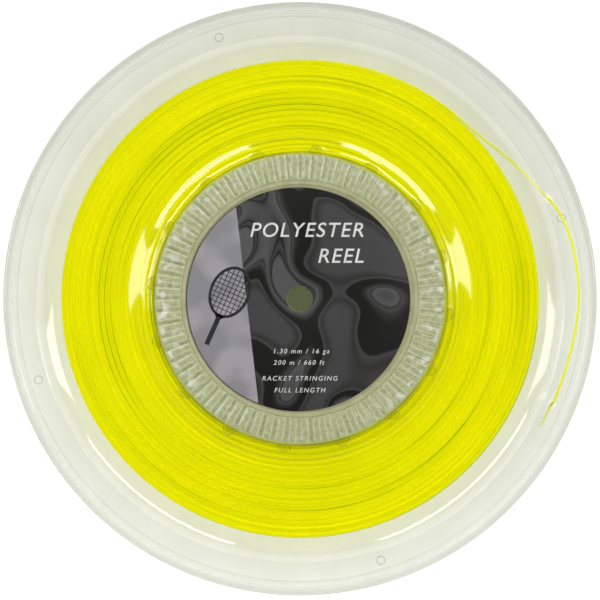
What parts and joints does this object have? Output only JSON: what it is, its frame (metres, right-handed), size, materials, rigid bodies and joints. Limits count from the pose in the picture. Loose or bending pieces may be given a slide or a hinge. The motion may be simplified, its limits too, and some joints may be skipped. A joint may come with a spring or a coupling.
{
  "type": "racket string reel",
  "caption": "Clear two-flange reel of racket string, with a fluted hub, a disc label and the loose string end held in the rim channel.",
  "frame": {"origin": "centre of the reel's footprint, on the plane of the rear rim", "axes": "+Z along the reel's axis, out of the front label; +X to the right of the front label's upright print and +Y to its top"},
  "size_m": [0.27, 0.27, 0.032],
  "materials": {
    "clear_plastic": "clear moulded plastic, polished, faint yellow-green cast",
    "hub_plastic": "clear plastic that looks sage green over the deep hub",
    "label_print": "satin printed label, charcoal",
    "string_polymer": "fluorescent yellow-green monofilament, satin gloss"
  },
  "bodies": {
    "root": {"front_flange": "clear_plastic", "rear_flange": "clear_plastic", "front_lock_ring": "hub_plastic", "rear_lock_ring": "hub_plastic", "front_hub_plate": "hub_plastic", "rear_hub_plate": "hub_plastic", "core_barrel": "hub_plastic", "spindle_tube": "hub_plastic", "front_label": "label_print", "rear_label": "label_print", "string_winding": "string_polymer", "string_tail": "string_polymer", "string_start": "string_polymer"}
  },
  "joints": []
}
